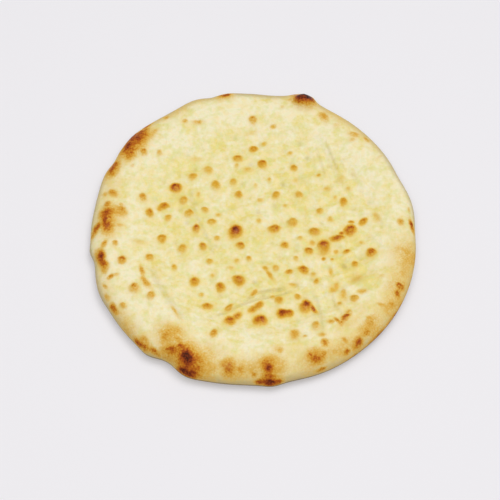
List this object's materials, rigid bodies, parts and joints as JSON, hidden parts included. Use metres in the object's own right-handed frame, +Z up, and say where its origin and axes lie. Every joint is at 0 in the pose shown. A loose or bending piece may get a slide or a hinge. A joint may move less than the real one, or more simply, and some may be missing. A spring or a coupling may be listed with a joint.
{
  "type": "naan bread",
  "caption": "Round, slightly uneven leavened flatbread with a puffed rim, a docked and quilted middle, browned blisters and a flat underside to rest on.",
  "frame": {"origin": "middle of the bread's length and width, on the flat underside it rests on", "axes": "+Z up out of the top crust, the picture's near edge towards -Y and its right towards +X"},
  "size_m": [0.2172, 0.2264, 0.0171],
  "materials": {
    "baked_dough": "soft pale baked dough with brown and charred blisters and a thin sheen of butter"
  },
  "bodies": {
    "root": {"naan": "baked_dough"}
  },
  "joints": []
}
